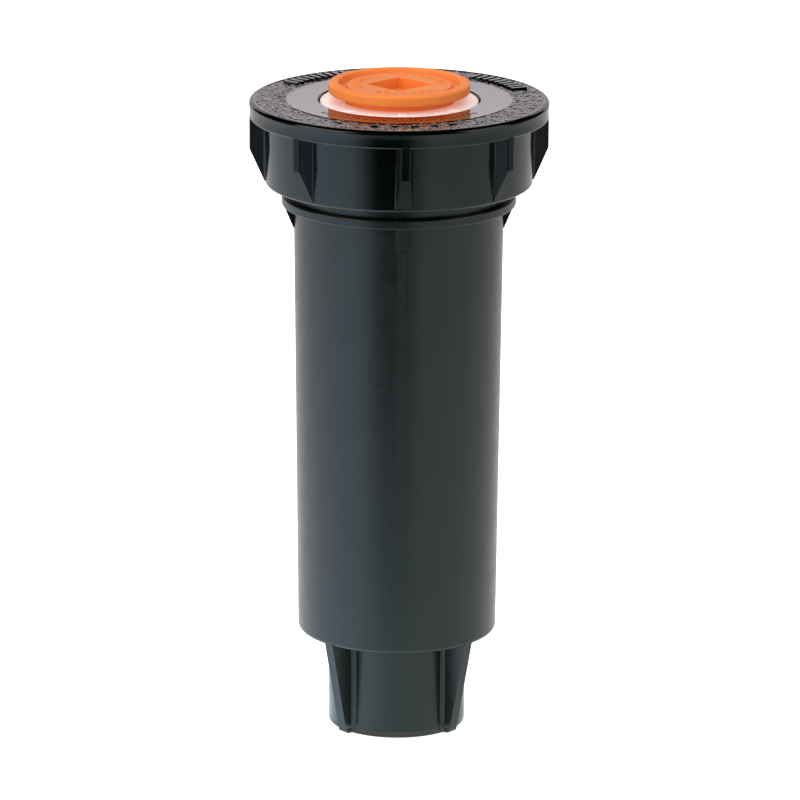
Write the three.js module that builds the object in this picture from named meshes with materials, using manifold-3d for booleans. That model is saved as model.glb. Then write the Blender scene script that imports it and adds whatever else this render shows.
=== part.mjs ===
// Pop-up spray sprinkler: 76 mm stroke, half-inch female inlet, flush plug fitted.
// Millimetres, +Z up. The origin is the centre of the inlet's bottom face and the front is -Y.
import * as THREE from 'three';
import { mergeVertices } from 'three/addons/utils/BufferGeometryUtils.js';
import Module from 'manifold-3d';

const wasm = await Module();
wasm.setup();

// ---------------------------------------------------------------- driving dimensions
const SEGMENTS = 36;          // facets round every large turned face
const FINE_SEGMENTS = 24;     // facets round the small turned faces
const GAP = 0.3;              // clearance left between touching pieces
const STROKE = 76;            // travel of the riser

// case
const CASE_TOP = 119.2;       // rim of the neck
const TUBE_BOTTOM = 18.8;
const TUBE_R = [19.15, 20.05]; // the tube is drafted, wider at the top
const TUBE_ROUND = 0.9;       // rounding of its lower edge
const BORE_R = 17.3;
const FLOOR_Z = 20.9;         // floor inside the tube
const NECK_BORE_R = 19.1;
const NECK_LEDGE_Z = 113.6;   // where the bore widens for the seal retainer
const COLLAR_Z = [103.35, 105.15];
const COLLAR_R = 22.4;
const INLET_R = 13.2;
const INLET_MOUTH_R = 11.3;
const INLET_SHOULDER_Z = 15.5; // the pipe stops here
const INLET_HOLE_R = 8.6;
const CLIP_POCKET = { r: 9.9, z: 19.3 }; // holds the washer retainer's head
const INLET_RIB = { width: 2, toeR: 15, toeZ: 0.3, topR: 18.7, topZ: 17.6 };
const GUSSET = { width: 2.4, bottom: 98.25, toeR: 20.4, topR: 22.0 };
const CASE_TURN = THREE.MathUtils.degToRad(1.5); // the case's ribs stand a little off the front
const SPLINE = { count: 4, width: 2, height: 1.1, lead: 1.5 };

// half-inch taper pipe thread in the inlet
const PIPE = { pitch: 1.814, root: 10.55, crest: 9.35, foot: 1.7, tip: 0.35, turns: 6.5, start: 1.8 };
const PIPE_STEPS = 18;        // steps of the thread in one turn

// screw thread between cap and neck, right-handed
const CAP_PITCH = 4;
const NECK = { root: 21.0, crest: 22.2, foot: 2.3, tip: 0.9, turns: 2.25, start: 108.6 };
const CAP_THREAD = {
  root: 22.6, crest: 21.4, foot: 2.1, tip: 0.7, turns: 2,
  start: NECK.start + CAP_PITCH / 2,
};
const THREAD_PHASE = Math.PI / SEGMENTS;  // the bars step midway between the facets' edges

// cap
const CAP_TOP = 123.6;
const CAP_DISH_Z = 123.48;    // the smooth ring inside the grained band is a little lower
const CAP_UNDER_Z = 120.6;
const FLANGE_R = 28.3;
const FLANGE_BEAD_R = 28.58;
const FLANGE_BEAD_Z = [122.2, 122.8];
const FLANGE_Z = 120.2;
const SKIRT_Z = 107.4;
const SKIRT_R = [25.5, 25.75];
const BAND_R = 21.4;
const OPENING_R = 15.4;
const SKIRT_ROUND = 0.5;
const RIB = { count: 8, footWidth: 3.6, edgeWidth: 1.7, r: 28.5, slopeTop: 114.2, toeR: 25.3 };
const RIB_TURN = THREE.MathUtils.degToRad(2.5);

// wiper seal and retainer
const SEAL_R = 15.05;
const SEAL_BORE_R = 10.6;
const SEAL_TOP = 123.6;
const SEAL_FLANGE = { r: 20.4, z: [119.5, 120.3] }; // clamped between the case and the cap
const LIP = { r: 10.25, z: [116.5, 117.2] };
const RETAINER_Z = [113.9, 116.2, 118.5]; // underside, seat, rim
const RETAINER_RIM = 1.6;

// riser
const STEM_R = 9.9;
const STEM_BORE_R = 8.1;
const STEM_Z = [22.6, 119.9];
const STEM_FOOT = { r: 12.2, top: 23.5 };
const SCREEN_LEDGE = { r: 7.2, z: 110.4 };

// ratchet: the hub turns with the riser, the ring is keyed to the case
const TEETH = 24;
const TOOTH_HEIGHT = 0.4;
const HUB_Z = [23.8, 25.2];
const HUB_R = 15.6;
const RING_Z = [26.3, 28.0];
const RING_R = BORE_R - 0.4;
const RING_BORE_R = STEM_R + 0.4;
const RING_SLEEVE = { r: 12.4, height: 2.6 };   // guides the spring's lower coil
const SPLINE_TOP = RING_Z[1] + RING_SLEEVE.height + STROKE + 2.1; // the ring never leaves the splines

// retract spring
const WIRE_R = 0.5;
const COIL_R = 13.9;
const COILS = 8;
const COIL_STEPS = 12;        // steps of the wire in one coil
const SPRING_Z = [RING_Z[1] + GAP, NECK_LEDGE_Z];

// check washer, its retainer and the filter
const WASHER_R = 13.2;
const CLIP = { z: [19.9, 20.9, 29], bore: 6.2, headR: 9.4, slotZ: 24, slotWidth: 1.6, barWidth: 1.4 };
const SCREEN = {
  z: [82.9, 83.9], r: [5.9, 6.7], wall: 0.8,
  slots: 8, slotWidth: 2, slotZ: [85.4, 107.9],
};
const SNAP_R = STEM_BORE_R - 0.35;              // what is pushed into the riser's bore

// flush plug
const DISC_R = 13.5;
const DISC_Z = [124.8, 126.95];
const PLUG_NECK_R = 10.2;
const SPIGOT_R = 7.75;
const SPIGOT_BOTTOM = 112.5;
const PLUG_BORE = { r: 5.9, z: 118.9 };
const GROOVE_R = [9.9, 11.6];
const INNER_DISC_Z = 126.4;
const GROOVE_Z = 125.7;
const RECESS = { side: 8.8, floor: 124.4, height: 4 };

// ---------------------------------------------------------------- solids
function toSolid(geometry) {
  const plain = geometry.clone();
  plain.deleteAttribute('normal');
  plain.deleteAttribute('uv');
  const merged = mergeVertices(plain, 1e-4);
  const index = merged.index.array;
  const triangles = [];
  for (let i = 0; i < index.length; i += 3) {
    const [a, b, c] = [index[i], index[i + 1], index[i + 2]];
    if (a !== b && b !== c && c !== a) triangles.push(a, b, c);
  }
  return new wasm.Manifold(new wasm.Mesh({
    numProp: 3,
    vertProperties: new Float32Array(merged.attributes.position.array),
    triVerts: new Uint32Array(triangles),
  }));
}

function toGeometry(solid) {
  const mesh = solid.getMesh();
  const geometry = new THREE.BufferGeometry();
  geometry.setAttribute('position', new THREE.BufferAttribute(mesh.vertProperties, 3));
  geometry.setIndex(new THREE.BufferAttribute(mesh.triVerts, 1));
  return geometry;
}

function joined(solids) {
  return solids.reduce((sum, solid) => sum.add(solid));
}

// A closed outline of [radius, height] points, listed anticlockwise, turned about Z.
function turned(outline, segments = SEGMENTS) {
  const points = [...outline, outline[0]].map(([r, z]) => new THREE.Vector2(r, z));
  return toSolid(new THREE.LatheGeometry(points, segments).rotateX(Math.PI / 2));
}

// A ring of rectangular section.
function ring(inner, outer, bottom, top, segments = SEGMENTS) {
  return turned([[inner, bottom], [outer, bottom], [outer, top], [inner, top]], segments);
}

function shapeOf(outline) {
  return new THREE.Shape(outline.map(([x, y]) => new THREE.Vector2(x, y)));
}

// A flat fin standing on the XZ plane: an outline of [radius, height] points given a width along Y.
// The width may taper from its foot, at radius footR, to its edge, at radius edgeR.
function fin(outline, width, { edgeWidth = width, footR = 0, edgeR = 1 } = {}) {
  const geometry = new THREE.ExtrudeGeometry(shapeOf(outline), { depth: width, bevelEnabled: false });
  geometry.translate(0, 0, -width / 2);
  geometry.rotateX(Math.PI / 2);
  const position = geometry.attributes.position;
  for (let i = 0; i < position.count; i += 1) {
    const share = (position.getX(i) - footR) / (edgeR - footR);
    const narrowed = 1 + THREE.MathUtils.clamp(share, 0, 1) * (edgeWidth / width - 1);
    position.setY(i, position.getY(i) * narrowed);
  }
  return toSolid(geometry);
}

// Copies of a solid, evenly spaced about Z.
function spaced(solid, count, first = 0) {
  const copies = [];
  for (let i = 0; i < count; i += 1) {
    copies.push(solid.rotate([0, 0, THREE.MathUtils.radToDeg(first) + (360 * i) / count]));
  }
  return joined(copies);
}

// A bar of the section [radius, height] wound right-handed about Z, with the pitch per turn.
function woundBar(section, pitch, turns, start, bottom, stepsPerTurn) {
  const sweep = turns * 2 * Math.PI;
  const steps = Math.round(turns * stepsPerTurn);
  const geometry = new THREE.ExtrudeGeometry(shapeOf(section), { depth: sweep, steps, bevelEnabled: false });
  const position = geometry.attributes.position;
  for (let i = 0; i < position.count; i += 1) {
    const radius = position.getX(i);
    const wound = sweep - position.getZ(i);
    const angle = start + wound;
    const height = bottom + position.getY(i) + (pitch * wound) / (2 * Math.PI);
    position.setXYZ(i, radius * Math.cos(angle), radius * Math.sin(angle), height);
  }
  return toSolid(geometry);
}

// A thread's section: foot buried in the wall at radius foot, crest at radius crest.
function threadSection(foot, crest, footWidth, crestWidth) {
  const outline = [
    [foot, -footWidth / 2],
    [crest, -crestWidth / 2],
    [crest, crestWidth / 2],
    [foot, footWidth / 2],
  ];
  return crest > foot ? outline : outline.reverse();
}

// Saw teeth on a flat ring, all round, from the plane at height z and rising by rise.
function ratchetTeeth(inner, outer, z, rise) {
  const overlap = 0.3 * Math.sign(rise);
  const pitchAngle = (2 * Math.PI) / TEETH;
  const half = (outer * pitchAngle) / 2 * 0.9;
  const outline = [[-half, z - overlap], [half, z - overlap], [half, z], [0, z + rise], [-half, z]];
  const ordered = rise > 0 ? outline : outline.reverse();
  const geometry = new THREE.ExtrudeGeometry(shapeOf(ordered), { depth: outer - inner, bevelEnabled: false });
  geometry.rotateX(Math.PI / 2);
  geometry.translate(0, outer, 0);
  const position = geometry.attributes.position;
  for (let i = 0; i < position.count; i += 1) {
    position.setX(i, position.getX(i) * (position.getY(i) / outer));
  }
  return spaced(toSolid(geometry), TEETH);
}

// ---------------------------------------------------------------- pieces
function buildCase() {
  const shell = turned([
    [INLET_MOUTH_R, 0],
    [INLET_R - 0.3, 0],
    [INLET_R, 0.3],
    [INLET_R, TUBE_BOTTOM],
    [TUBE_R[0] - TUBE_ROUND, TUBE_BOTTOM],
    [TUBE_R[0] - TUBE_ROUND * 0.3, TUBE_BOTTOM + TUBE_ROUND * 0.3],
    [TUBE_R[0], TUBE_BOTTOM + TUBE_ROUND],
    [TUBE_R[1], COLLAR_Z[0]],
    [COLLAR_R, COLLAR_Z[0]],
    [COLLAR_R, COLLAR_Z[1]],
    [NECK.root, COLLAR_Z[1]],
    [NECK.root, CASE_TOP],
    [NECK_BORE_R, CASE_TOP],
    [NECK_BORE_R, NECK_LEDGE_Z],
    [BORE_R, NECK_LEDGE_Z],
    [BORE_R, FLOOR_Z],
    [CLIP_POCKET.r, FLOOR_Z],
    [CLIP_POCKET.r, CLIP_POCKET.z],
    [INLET_HOLE_R, CLIP_POCKET.z],
    [INLET_HOLE_R, INLET_SHOULDER_Z],
    [PIPE.root, INLET_SHOULDER_Z],
    [PIPE.root, 0.8],
  ]);
  const inletRib = fin([
    [INLET_R - 0.6, INLET_RIB.toeZ],
    [INLET_RIB.toeR - 0.8, INLET_RIB.toeZ],
    [INLET_RIB.toeR, INLET_RIB.toeZ + 0.8],
    [INLET_RIB.topR, INLET_RIB.topZ],
    [INLET_RIB.topR - 0.5, TUBE_BOTTOM + 0.6],
    [INLET_R - 0.6, TUBE_BOTTOM + 0.6],
  ], INLET_RIB.width);
  const gusset = fin([
    [TUBE_R[1] - 0.6, GUSSET.bottom],
    [GUSSET.toeR, GUSSET.bottom + 0.4],
    [GUSSET.topR, COLLAR_Z[0] + 0.4],
    [TUBE_R[1] - 0.6, COLLAR_Z[0] + 0.4],
  ], GUSSET.width);
  const splineR = BORE_R - SPLINE.height;
  const spline = fin([
    [splineR, FLOOR_Z - 0.4],
    [BORE_R + 0.8, FLOOR_Z - 0.4],
    [BORE_R + 0.8, SPLINE_TOP],
    [splineR, SPLINE_TOP - SPLINE.lead],
  ], SPLINE.width);
  const pipeThread = woundBar(
    threadSection(PIPE.root + 0.3, PIPE.crest, PIPE.foot, PIPE.tip),
    PIPE.pitch, PIPE.turns, THREAD_PHASE / 2, PIPE.start, PIPE_STEPS,
  );
  const neckThread = woundBar(
    threadSection(NECK.root - 0.3, NECK.crest, NECK.foot, NECK.tip),
    CAP_PITCH, NECK.turns, THREAD_PHASE, NECK.start, SEGMENTS,
  );
  return joined([
    shell,
    spaced(inletRib, 4, CASE_TURN + Math.PI / 4),
    spaced(gusset, 4, CASE_TURN),
    spaced(spline, SPLINE.count),
    pipeThread,
    neckThread,
  ]);
}

function buildCap() {
  const shell = turned([
    [CAP_THREAD.root, SKIRT_Z],
    [SKIRT_R[0] - SKIRT_ROUND, SKIRT_Z],
    [SKIRT_R[0], SKIRT_Z + SKIRT_ROUND],
    [SKIRT_R[1], FLANGE_Z],
    [FLANGE_R, FLANGE_Z],
    [FLANGE_R, FLANGE_BEAD_Z[0]],
    [FLANGE_BEAD_R, FLANGE_BEAD_Z[1]],
    [FLANGE_BEAD_R - 0.8, CAP_TOP],
    [BAND_R, CAP_TOP],
    [BAND_R - 0.3, CAP_DISH_Z],
    [OPENING_R, CAP_DISH_Z],
    [OPENING_R, CAP_UNDER_Z],
    [CAP_THREAD.root, CAP_UNDER_Z],
  ]);
  const rib = fin([
    [SKIRT_R[0] - 1.3, FLANGE_Z + 0.3],
    [SKIRT_R[0] - 1.3, SKIRT_Z + 1],
    [RIB.toeR, SKIRT_Z + 1],
    [RIB.r - 0.3, RIB.slopeTop - 0.4],
    [RIB.r, RIB.slopeTop + 0.3],
    [RIB.r, FLANGE_Z + 0.3],
  ], RIB.footWidth, { edgeWidth: RIB.edgeWidth, footR: SKIRT_R[0], edgeR: RIB.r });
  const thread = woundBar(
    threadSection(CAP_THREAD.root + 0.3, CAP_THREAD.crest, CAP_THREAD.foot, CAP_THREAD.tip),
    CAP_PITCH, CAP_THREAD.turns, THREAD_PHASE, CAP_THREAD.start, SEGMENTS,
  );
  return joined([shell, spaced(rib, RIB.count, RIB_TURN - Math.PI / 2), thread]);
}

function buildSeal() {
  const round = 0.4;
  return turned([
    [LIP.r, LIP.z[0]],
    [LIP.r + 0.6, LIP.z[0]],
    [SEAL_R - 0.85, SEAL_FLANGE.z[0]],
    [SEAL_FLANGE.r, SEAL_FLANGE.z[0]],
    [SEAL_FLANGE.r, SEAL_FLANGE.z[1]],
    [SEAL_R, SEAL_FLANGE.z[1]],
    [SEAL_R, SEAL_TOP - round],
    [SEAL_R - round, SEAL_TOP],
    [SEAL_BORE_R + 0.3, SEAL_TOP],
    [SEAL_BORE_R, SEAL_TOP - 0.3],
    [SEAL_BORE_R + 0.4, SEAL_FLANGE.z[0] - 0.7],
    [LIP.r, LIP.z[1]],
  ]);
}

function buildRetainer() {
  const inner = STEM_R + 0.5;
  const outer = NECK_BORE_R - 0.4;
  const [underside, seat, rim] = RETAINER_Z;
  return turned([
    [inner, underside],
    [outer, underside],
    [outer, rim],
    [outer - RETAINER_RIM, rim],
    [outer - RETAINER_RIM, seat],
    [inner, seat],
  ]);
}

class Coil extends THREE.Curve {
  getPoint(t, target = new THREE.Vector3()) {
    const angle = t * COILS * 2 * Math.PI;
    const rise = SPRING_Z[1] - SPRING_Z[0] - 2 * WIRE_R;
    const height = SPRING_Z[0] + WIRE_R + 0.05 + (rise - 0.1) * t;
    return target.set(COIL_R * Math.cos(angle), COIL_R * Math.sin(angle), height);
  }
}

function buildSpring() {
  const wire = new THREE.Shape();
  const sides = 6;
  for (let i = 0; i < sides; i += 1) {
    const angle = (2 * Math.PI * i) / sides;
    const [x, y] = [WIRE_R * Math.cos(angle), WIRE_R * Math.sin(angle)];
    if (i === 0) wire.moveTo(x, y);
    else wire.lineTo(x, y);
  }
  const geometry = new THREE.ExtrudeGeometry(wire, {
    steps: COILS * COIL_STEPS,
    bevelEnabled: false,
    extrudePath: new Coil(),
  });
  return toSolid(geometry);
}

function buildStem() {
  return turned([
    [STEM_BORE_R, STEM_Z[0]],
    [STEM_FOOT.r, STEM_Z[0]],
    [STEM_FOOT.r, STEM_FOOT.top],
    [STEM_R, STEM_FOOT.top],
    [STEM_R, STEM_Z[1] - 0.5],
    [STEM_R - 0.5, STEM_Z[1]],
    [STEM_BORE_R + 0.4, STEM_Z[1]],
    [STEM_BORE_R, STEM_Z[1] - 0.4],
    [STEM_BORE_R, SCREEN_LEDGE.z],
    [SCREEN_LEDGE.r, SCREEN_LEDGE.z],
    [SCREEN_LEDGE.r, SCREEN_LEDGE.z - 0.7],
    [STEM_BORE_R, SCREEN_LEDGE.z - 1.6],
  ]);
}

function buildHub() {
  const inner = STEM_R + GAP;
  const body = ring(inner, HUB_R, HUB_Z[0], HUB_Z[1]);
  return body.add(ratchetTeeth(inner + 1.2, HUB_R - 0.3, HUB_Z[1], TOOTH_HEIGHT));
}

function buildRatchetRing() {
  const body = turned([
    [RING_BORE_R, RING_Z[0]],
    [RING_R, RING_Z[0]],
    [RING_R, RING_Z[1]],
    [RING_SLEEVE.r + 0.2, RING_Z[1]],
    [RING_SLEEVE.r - 0.2, RING_Z[1] + RING_SLEEVE.height],
    [RING_BORE_R, RING_Z[1] + RING_SLEEVE.height],
  ]);
  const teeth = ratchetTeeth(RING_BORE_R + 1.2, HUB_R - 0.3, RING_Z[0], -TOOTH_HEIGHT);
  const keywayR = BORE_R - SPLINE.height - 0.4;
  const keyway = fin([
    [keywayR, RING_Z[0] - 2],
    [BORE_R + 1, RING_Z[0] - 2],
    [BORE_R + 1, RING_Z[1] + 4],
    [keywayR, RING_Z[1] + 4],
  ], SPLINE.width + 0.7);
  return body.add(teeth).subtract(spaced(keyway, SPLINE.count));
}

function buildCheckWasher() {
  return ring(STEM_BORE_R + 0.2, WASHER_R, FLOOR_Z + GAP, STEM_Z[0] - GAP);
}

function buildWasherRetainer() {
  const [bottom, head, top] = CLIP.z;
  const barrel = turned([
    [CLIP.bore, bottom],
    [CLIP.headR, bottom],
    [CLIP.headR, head],
    [SNAP_R, head],
    [SNAP_R, top],
    [CLIP.bore, top],
  ], FINE_SEGMENTS);
  const slot = fin([[4, CLIP.slotZ], [10, CLIP.slotZ], [10, top + 1], [4, top + 1]], CLIP.slotWidth);
  const barEnd = CLIP.bore + 0.8;
  const bar = fin([[-0.5, bottom], [barEnd, bottom], [barEnd, head], [-0.5, head]], CLIP.barWidth);
  return barrel.subtract(spaced(slot, 4)).add(spaced(bar, 4));
}

function buildScreen() {
  const seat = SCREEN_LEDGE.z + GAP;
  const basket = turned([
    [0, SCREEN.z[0]],
    [SCREEN.r[0], SCREEN.z[0]],
    [SCREEN.r[1], seat],
    [SNAP_R, seat],
    [SNAP_R, seat + 1],
    [SCREEN.r[1] - SCREEN.wall, seat + 1],
    [SCREEN.r[0] - SCREEN.wall, SCREEN.z[1]],
    [0, SCREEN.z[1]],
  ], FINE_SEGMENTS);
  const [low, high] = SCREEN.slotZ;
  const slot = fin([[4, low], [9, low], [9, high], [4, high]], SCREEN.slotWidth);
  return basket.subtract(spaced(slot, SCREEN.slots));
}

function buildPlug() {
  const [under, top] = DISC_Z;
  const body = turned([
    [0, PLUG_BORE.z],
    [PLUG_BORE.r, PLUG_BORE.z],
    [PLUG_BORE.r, SPIGOT_BOTTOM],
    [SPIGOT_R - 0.4, SPIGOT_BOTTOM],
    [SPIGOT_R, SPIGOT_BOTTOM + 0.8],
    [SPIGOT_R, STEM_Z[1] + GAP],
    [PLUG_NECK_R, STEM_Z[1] + GAP],
    [PLUG_NECK_R, under],
    [DISC_R - 0.5, under],
    [DISC_R, under + 0.6],
    [DISC_R, top - 0.7],
    [DISC_R - 0.7, top],
    [GROOVE_R[1], top],
    [GROOVE_R[1] - 0.2, GROOVE_Z],
    [GROOVE_R[0] + 0.2, GROOVE_Z],
    [GROOVE_R[0], INNER_DISC_Z],
    [0, INNER_DISC_Z],
  ]);
  const recess = new THREE.BoxGeometry(RECESS.side, RECESS.side, RECESS.height);
  recess.rotateZ(Math.PI / 4);
  recess.translate(0, 0, RECESS.floor + RECESS.height / 2);
  return body.subtract(toSolid(recess));
}

// ---------------------------------------------------------------- assembly
const BLACK_PLASTIC = { color: '#2f3134', roughness: 0.42, metalness: 0 };
const GLOSS_BLACK = { color: '#26282b', roughness: 0.28, metalness: 0 };
const PALE_RUBBER = { color: '#e9dcd8', roughness: 0.35, metalness: 0 };
const ORANGE_PLASTIC = { color: '#f07f38', roughness: 0.35, metalness: 0 };
const STEEL = { color: '#b9bcc0', roughness: 0.3, metalness: 1 };
const GREY_PLASTIC = { color: '#8b8e92', roughness: 0.5, metalness: 0 };
const BLACK_RUBBER = { color: '#1c1d1f', roughness: 0.7, metalness: 0 };

const PIECES = [
  ['case', buildCase, BLACK_PLASTIC],
  ['cap', buildCap, GLOSS_BLACK],
  ['wiper_seal', buildSeal, PALE_RUBBER],
  ['seal_retainer', buildRetainer, GREY_PLASTIC],
  ['retract_spring', buildSpring, STEEL],
  ['riser_stem', buildStem, BLACK_PLASTIC],
  ['ratchet_ring', buildRatchetRing, GREY_PLASTIC],
  ['ratchet_hub', buildHub, BLACK_PLASTIC],
  ['check_washer', buildCheckWasher, BLACK_RUBBER],
  ['washer_retainer', buildWasherRetainer, GREY_PLASTIC],
  ['filter_screen', buildScreen, GREY_PLASTIC],
  ['flush_plug', buildPlug, ORANGE_PLASTIC],
];

const sprinkler = new THREE.Group();
for (const [name, build, finish] of PIECES) {
  const mesh = new THREE.Mesh(toGeometry(build()), new THREE.MeshStandardMaterial(finish));
  mesh.name = name;
  sprinkler.add(mesh);
}

export default sprinkler;
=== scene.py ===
"""Pop-up spray sprinkler: moulded case and cap, wiper seal, retracting riser and flush plug."""
import math

import bmesh
import bpy
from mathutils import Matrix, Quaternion, Vector, noise


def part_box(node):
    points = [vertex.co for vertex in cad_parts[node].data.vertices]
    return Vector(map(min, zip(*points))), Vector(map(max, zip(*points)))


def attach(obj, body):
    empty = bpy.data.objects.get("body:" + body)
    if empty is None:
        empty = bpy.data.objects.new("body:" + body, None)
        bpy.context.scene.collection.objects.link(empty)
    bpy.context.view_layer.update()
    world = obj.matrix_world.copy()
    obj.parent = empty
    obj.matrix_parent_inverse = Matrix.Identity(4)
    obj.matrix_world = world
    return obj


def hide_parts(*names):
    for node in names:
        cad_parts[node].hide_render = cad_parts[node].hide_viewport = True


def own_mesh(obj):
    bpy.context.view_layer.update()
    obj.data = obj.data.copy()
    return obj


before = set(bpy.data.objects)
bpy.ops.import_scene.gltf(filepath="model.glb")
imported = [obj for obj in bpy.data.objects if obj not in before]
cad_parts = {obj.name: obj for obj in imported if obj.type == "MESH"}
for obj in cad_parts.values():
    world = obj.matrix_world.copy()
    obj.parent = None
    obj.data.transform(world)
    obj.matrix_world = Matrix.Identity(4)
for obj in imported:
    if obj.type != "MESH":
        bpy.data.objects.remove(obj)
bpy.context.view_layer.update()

MM = 0.001


def span(node):
    """The outer radius, bottom and top of a frame node, in millimetres."""
    low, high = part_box(node)
    return high[0] / MM, low[2] / MM, high[2] / MM


# The frame's main sizes, in millimetres
CAP_R, SKIRT_Z, CAP_TOP = span("cap")
CASE_R, INLET_Z, CASE_TOP = span("case")
SEAL_FLANGE_R, LIP_Z, SEAL_TOP = span("wiper_seal")
RETAINER_R, RETAINER_Z, RETAINER_TOP = span("seal_retainer")
DISC_R, SPIGOT_Z, PLUG_TOP = span("flush_plug")
FOOT_R, STEM_Z, STEM_TOP = span("riser_stem")
RING_R, RING_Z, RING_TOP = span("ratchet_ring")
HUB_R, HUB_Z, HUB_TOP = span("ratchet_hub")
WASHER_R, WASHER_Z, WASHER_TOP = span("check_washer")
CLIP_R, CLIP_Z, CLIP_TOP = span("washer_retainer")
SCREEN_R, SCREEN_Z, SCREEN_TOP = span("filter_screen")
_, SPRING_Z, SPRING_TOP = span("retract_spring")

# Sizes that several pieces share
SIDES = 192                  # sides of a large turned piece
SMALL_SIDES = 96
TUBE_Z = 18.8                # underside of the tube
FLOOR_Z = 20.9               # floor inside the tube
TUBE_R = (19.15, 20.05)      # bottom and top of the drafted tube
BORE_R = 17.3                # inside of the tube
INLET_R = 13.2
INLET_BORE_R = 10.55         # the pipe thread's roots
INLET_MOUTH_R = 11.3
WASHER_SEAT_R = 9.9          # the way through the tube's floor
THROAT_R = 8.6
NECK_R = 21.0                # under the cap's thread
NECK_BORE_R = 19.1
LEDGE_Z = SPRING_TOP
COLLAR_Z = (103.35, 105.15)
GUSSET_Z = COLLAR_Z[0] - 5.1
STEM_R = 9.9
STEM_BORE_R = 8.1
TOOTH = 0.4                  # height of a ratchet tooth
CAP_PITCH = 4.0
SKIRT_R = (25.5, 25.75)      # bottom and top of the cap's drafted skirt
SKIRT_BORE_R = 22.6
CAP_OPENING_R = 15.4
BAND_R = (21.4, 27.7)        # the grained band on the cap's top
NECK_THREAD_Z = COLLAR_Z[1] + 3.45
PIPE_PITCH = 1.814
RIB_TURN = math.radians(2.5)  # the cap's ribs stand a little off the front
CASE_TURN = math.radians(1.5)  # and so do the case's gussets and ribs
FRONT = -math.pi / 2


# ---------------------------------------------------------------- bench tools
def clear_selection():
    """Leaves nothing selected and nothing in edit mode."""
    if bpy.context.object and bpy.context.object.mode != "OBJECT":
        bpy.ops.object.mode_set(mode="OBJECT")
    bpy.ops.object.select_all(action="DESELECT")


def hold(piece):
    """Makes one piece the only selected and active one."""
    clear_selection()
    piece.select_set(True)
    bpy.context.view_layer.objects.active = piece


def edit(piece):
    """Opens one piece in edit mode."""
    hold(piece)
    bpy.ops.object.mode_set(mode="EDIT")


def pick(kind, wanted):
    """In edit mode, selects only the edges or faces whose middle and normal or run are wanted."""
    bpy.ops.mesh.select_mode(type={"edges": "EDGE", "faces": "FACE"}[kind])
    bpy.ops.mesh.select_all(action="DESELECT")
    data = bpy.context.edit_object.data
    mesh = bmesh.from_edit_mesh(data)
    for item in getattr(mesh, kind):
        middle = sum((v.co for v in item.verts), Vector()) / len(item.verts) / MM
        if kind == "faces":
            way = item.normal
        else:
            way = (item.verts[1].co - item.verts[0].co).normalized()
        item.select_set(bool(wanted(middle, way)))
    mesh.select_flush_mode()
    bmesh.update_edit_mesh(data)


def apply_place(piece):
    """Puts a piece's location, turn and scale into its mesh."""
    hold(piece)
    bpy.ops.object.transform_apply(location=True, rotation=True, scale=True)


def named(piece, name):
    """Names a piece and its mesh."""
    piece.name = name
    piece.data.name = name
    return piece


def rounded(outline, steps=4):
    """An outline of corners, each two coordinates and perhaps a fillet, with the fillets as arcs."""
    points = []
    for i, corner in enumerate(outline):
        here = Vector(corner[:2])
        if len(corner) < 3:
            points.append(here)
            continue
        back = (Vector(outline[i - 1][:2]) - here).normalized()
        on = (Vector(outline[(i + 1) % len(outline)][:2]) - here).normalized()
        half = back.angle(on) / 2
        fillet = corner[2]
        centre = here + (back + on).normalized() * fillet / math.sin(half)
        start = here + back * fillet / math.tan(half)
        end = here + on * fillet / math.tan(half)
        for step in range(steps + 1):
            chord = start.lerp(end, step / steps) - centre
            points.append(centre + chord.normalized() * fillet)
    return points


def turned(name, outline, sides=SIDES, steps=4, closed=True):
    """Turns an outline about Z: a ring is extruded and resized from point to point.
    A closed outline comes back to its first ring, and an open one is filled at both ends."""
    points = rounded(outline, steps)
    clear_selection()
    first = points[0]
    bpy.ops.mesh.primitive_circle_add(
        vertices=sides, radius=first.x * MM, location=(0, 0, first.y * MM), fill_type="NOTHING"
    )
    piece = bpy.context.object
    apply_place(piece)
    bpy.ops.object.mode_set(mode="EDIT")
    bpy.ops.mesh.select_mode(type="VERT")
    bpy.ops.mesh.select_all(action="SELECT")
    if not closed:
        bpy.ops.mesh.edge_face_add()
    path = points[1:] + [first] if closed else points[1:]
    before = first
    for point in path:
        bpy.ops.mesh.extrude_region_move(
            TRANSFORM_OT_translate={"value": (0, 0, (point.y - before.y) * MM)}
        )
        scale = point.x / before.x
        bpy.ops.transform.resize(value=(scale, scale, 1), center_override=(0, 0, 0))
        before = point
    if closed:
        bpy.ops.mesh.select_all(action="SELECT")
        bpy.ops.mesh.remove_doubles(threshold=0.002 * MM)
    bpy.ops.mesh.select_all(action="SELECT")
    bpy.ops.mesh.normals_make_consistent(inside=False)
    bpy.ops.object.mode_set(mode="OBJECT")
    return named(piece, name)


def block(low, high):
    """A block between two corners, in millimetres."""
    clear_selection()
    middle = [(a + b) / 2 * MM for a, b in zip(low, high)]
    size = [(b - a) * MM for a, b in zip(low, high)]
    bpy.ops.mesh.primitive_cube_add(size=1, location=middle, scale=size)
    piece = bpy.context.object
    apply_place(piece)
    return piece


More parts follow.
